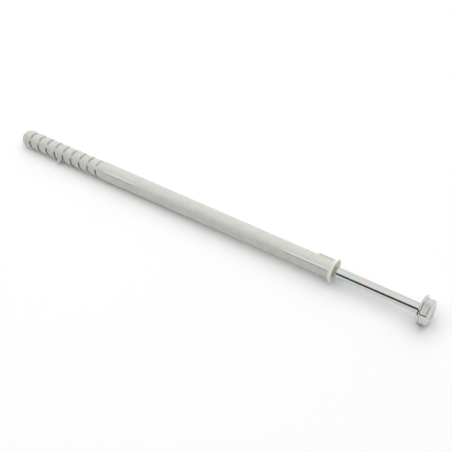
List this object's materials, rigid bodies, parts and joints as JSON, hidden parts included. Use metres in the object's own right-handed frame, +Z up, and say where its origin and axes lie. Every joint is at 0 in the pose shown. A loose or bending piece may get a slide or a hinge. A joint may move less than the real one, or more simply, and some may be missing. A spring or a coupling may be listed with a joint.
{
  "type": "frame fixing",
  "caption": "Nylon frame fixing with a toothed expansion end and a countersunk collar, its hex washer head screw pushed part of the way in.",
  "frame": {"origin": "on the floor under the middle of the fixing's length, where it has come to rest on its nose and on its washer", "axes": "+X along the fixing from the nose to the head, +Z up; the fixing's own axis rises 0.84 degrees towards the head"},
  "size_m": [0.2572, 0.017, 0.017],
  "materials": {
    "nylon": "satin moulded nylon, light grey",
    "zinc_steel": "bright zinc plated"
  },
  "bodies": {
    "root": {"sleeve": "nylon", "screw": "zinc_steel"}
  },
  "joints": []
}
